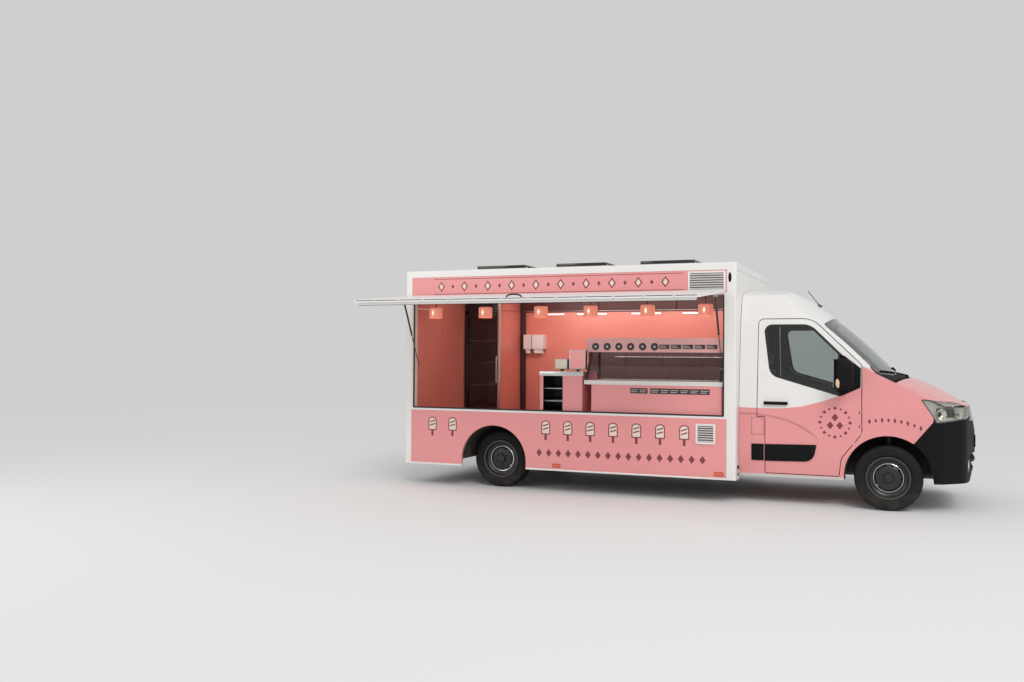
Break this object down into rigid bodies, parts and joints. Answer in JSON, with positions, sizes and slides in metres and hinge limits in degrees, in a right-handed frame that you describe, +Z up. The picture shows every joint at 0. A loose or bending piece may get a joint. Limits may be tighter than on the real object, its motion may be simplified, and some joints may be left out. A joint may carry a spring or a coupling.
{
  "type": "ice cream truck",
  "caption": "Ice cream truck: a low-floor van cab with a box body, an open serving hatch held up on gas struts, a display freezer inside and solar panels on the roof.",
  "frame": {"origin": "on the ground, on the centre line, midway between the two axles", "axes": "+X forward, +Y to the truck's left, +Z up; the serving hatch is on the -Y side"},
  "size_m": [6.3654, 3.8072, 2.6649],
  "materials": {
    "cab_paint": "gloss",
    "panel_paint": "gloss",
    "inner_wall": "satin",
    "frame_white": "gloss",
    "flap_white": "gloss",
    "chassis_black": "satin",
    "black_trim": "matt",
    "dark_interior": "matt",
    "seat_fabric": "woven",
    "window_glass": "clear, slightly tinted",
    "clear_glass": "clear",
    "lamp_lens": "clear over a dark reflector",
    "red_lens": "gloss",
    "amber_lens": "gloss",
    "tyre_rubber": "worn",
    "wheel_silver": "satin",
    "engine_grey": "rough",
    "floor_grey": "matt",
    "stainless": "brushed",
    "solar_dark": "dark cells under glass",
    "lamp_white": "satin, lit from inside",
    "fridge_black": "satin",
    "dispenser_white": "gloss"
  },
  "bodies": {
    "truck": {"arch_liners": "black_trim", "box_floor": "floor_grey", "box_frame": "frame_white", "box_roof": "frame_white", "cab_seats": "seat_fabric", "cab_shell": "cab_paint", "cowl": "black_trim", "dashboard": "dark_interior", "dispensers": "dispenser_white", "display_freezer": "panel_paint", "display_glass": "clear_glass", "engine_block": "engine_grey", "fascia": "panel_paint", "freezer_rim": "stainless", "fridge_glass": "clear_glass", "front_bumper": "black_trim", "front_suspension": "chassis_black", "front_wall": "frame_white", "hatch_frame": "frame_white", "headlamps": "lamp_lens", "left_wall": "panel_paint", "louvre_vents": "frame_white", "overhead_shelf": "panel_paint", "pendant_lamps": "lamp_white", "rear_axle": "chassis_black", "rear_wall": "frame_white", "service_counter": "panel_paint", "side_markers": "amber_lens", "side_members": "chassis_black", "side_panel": "panel_paint", "solar_panels": "solar_dark", "steering_wheel": "dark_interior", "tail_lamps": "red_lens", "till_screens": "black_trim", "upper_grille": "black_trim", "upright_fridge": "fridge_black", "windscreen": "window_glass"},
    "bonnet": {"bonnet": "cab_paint"},
    "door_left": {"door_left": "cab_paint", "door_glass_left": "window_glass", "mirror_left": "black_trim"},
    "door_right": {"door_right": "cab_paint", "door_glass_right": "window_glass", "mirror_right": "black_trim"},
    "hatch": {"hatch_flap": "flap_white"},
    "rear_door": {"rear_door": "frame_white"},
    "strut_cylinder_front": {"strut_cylinder_front": "chassis_black"},
    "strut_cylinder_rear": {"strut_cylinder_rear": "chassis_black"},
    "strut_rod_front": {"strut_rod_front": "stainless"},
    "strut_rod_rear": {"strut_rod_rear": "stainless"},
    "knuckle_left": {"knuckle_left": "chassis_black"},
    "knuckle_right": {"knuckle_right": "chassis_black"},
    "wheel_front_left": {"tyre_front_left": "tyre_rubber", "rim_front_left": "wheel_silver"},
    "wheel_front_right": {"tyre_front_right": "tyre_rubber", "rim_front_right": "wheel_silver"},
    "wheel_rear_left": {"tyre_rear_left": "tyre_rubber", "rim_rear_left": "wheel_silver"},
    "wheel_rear_right": {"tyre_rear_right": "tyre_rubber", "rim_rear_right": "wheel_silver"}
  },
  "joints": [
    {"name": "hatch", "type": "hinge", "parent": "truck", "child": "hatch", "pos_m": [0, -1.208, 2.262], "axis": [1, 0, 0], "range_deg": [0, 84.5]},
    {"name": "strut_rear_swing", "type": "hinge", "parent": "hatch", "child": "strut_cylinder_rear", "pos_m": [-3.198, -1.51446, 2.20947], "axis": [1, 0, 0], "range_deg": [-106, 0]},
    {"name": "strut_rear_stroke", "type": "slide", "parent": "strut_cylinder_rear", "child": "strut_rod_rear", "axis": [0, 0.4544, -0.8908], "range_m": [-0.352, 0]},
    {"name": "strut_front_swing", "type": "hinge", "parent": "hatch", "child": "strut_cylinder_front", "pos_m": [0.492, -1.51446, 2.20947], "axis": [1, 0, 0], "range_deg": [-106, 0]},
    {"name": "strut_front_stroke", "type": "slide", "parent": "strut_cylinder_front", "child": "strut_rod_front", "axis": [0, 0.4544, -0.8908], "range_m": [-0.352, 0]},
    {"name": "cab_door_left", "type": "hinge", "parent": "truck", "child": "door_left", "pos_m": [1.898, 1.005, 0.93], "axis": [0, 0, -1], "range_deg": [0, 70]},
    {"name": "cab_door_right", "type": "hinge", "parent": "truck", "child": "door_right", "pos_m": [1.898, -1.005, 0.93], "axis": [0, 0, 1], "range_deg": [0, 70]},
    {"name": "bonnet", "type": "hinge", "parent": "truck", "child": "bonnet", "pos_m": [2.188, 0, 1.31], "axis": [0, -1, 0], "range_deg": [0, 50]},
    {"name": "rear_door", "type": "hinge", "parent": "truck", "child": "rear_door", "pos_m": [-3.353, -1.003, 1.22], "axis": [0, 0, 1], "range_deg": [0, 100]},
    {"name": "steering_left", "type": "hinge", "parent": "truck", "child": "knuckle_left", "pos_m": [2.166, 0.77, 0.335], "axis": [0, 0, 1], "range_deg": [-32, 32]},
    {"name": "steering_right", "type": "hinge", "parent": "truck", "child": "knuckle_right", "pos_m": [2.166, -0.77, 0.335], "axis": [0, 0, 1], "range_deg": [-32, 32]},
    {"name": "wheel_front_left", "type": "hinge", "parent": "knuckle_left", "child": "wheel_front_left", "pos_m": [2.166, 0.875, 0.335], "axis": [0, 1, 0], "continuous": true},
    {"name": "wheel_rear_left", "type": "hinge", "parent": "truck", "child": "wheel_rear_left", "pos_m": [-2.166, 0.865, 0.335], "axis": [0, 1, 0], "continuous": true},
    {"name": "wheel_front_right", "type": "hinge", "parent": "knuckle_right", "child": "wheel_front_right", "pos_m": [2.166, -0.875, 0.335], "axis": [0, 1, 0], "continuous": true},
    {"name": "wheel_rear_right", "type": "hinge", "parent": "truck", "child": "wheel_rear_right", "pos_m": [-2.166, -0.865, 0.335], "axis": [0, 1, 0], "continuous": true}
  ],
  "couplings": [
    {"joint": "steering_right", "follows": "steering_left", "ratio": 1},
    {"joint": "strut_rear_swing", "follows": "hatch", "ratio": -1.2367},
    {"joint": "strut_rear_stroke", "follows": "hatch", "m_per_rad": -0.23595},
    {"joint": "strut_front_swing", "follows": "hatch", "ratio": -1.2367},
    {"joint": "strut_front_stroke", "follows": "hatch", "m_per_rad": -0.23595}
  ]
}
